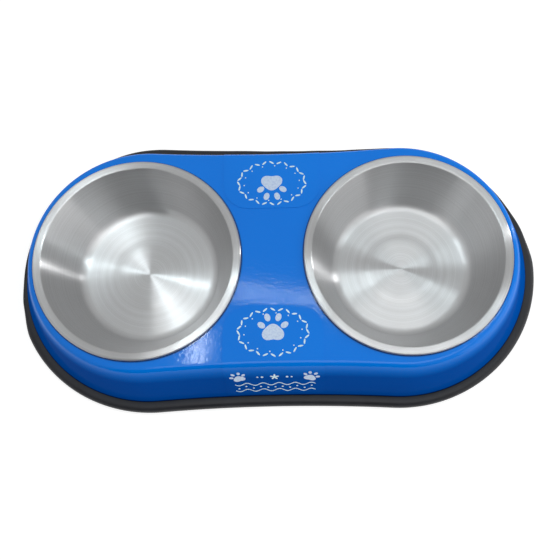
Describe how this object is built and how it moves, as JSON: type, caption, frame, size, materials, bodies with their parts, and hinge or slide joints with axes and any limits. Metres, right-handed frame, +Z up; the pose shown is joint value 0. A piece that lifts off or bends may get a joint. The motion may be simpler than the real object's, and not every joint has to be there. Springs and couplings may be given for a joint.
{
  "type": "double pet bowl",
  "caption": "Raised pet feeder: steel bowls that lift out of a low blue stand with a flared skirt, rubber foot ring and printed film decoration.",
  "frame": {"origin": "on the table, under the middle of the stand", "axes": "+X along the pair of bowls to the right one, +Y to the rear, +Z up"},
  "size_m": [0.429, 0.229, 0.048],
  "materials": {
    "blue_enamel": "high-gloss blue paint with a slight orange peel",
    "foot_rubber": "satin charcoal rubber",
    "spun_steel": "polished, with fine spinning marks round the axis",
    "printed_film": "thin clear gloss film with white and pale lilac print"
  },
  "bodies": {
    "stand": {"stand_shell": "blue_enamel", "non_slip_ring": "foot_rubber", "front_transfer": "printed_film", "rear_transfer": "printed_film"},
    "left_bowl": {"left_bowl": "spun_steel"},
    "right_bowl": {"right_bowl": "spun_steel"}
  },
  "joints": [
    {"name": "left_bowl_lift", "type": "slide", "parent": "stand", "child": "left_bowl", "axis": [0, 0, 1], "range_m": [0, 0.06]},
    {"name": "right_bowl_lift", "type": "slide", "parent": "stand", "child": "right_bowl", "axis": [0, 0, 1], "range_m": [0, 0.06]}
  ]
}
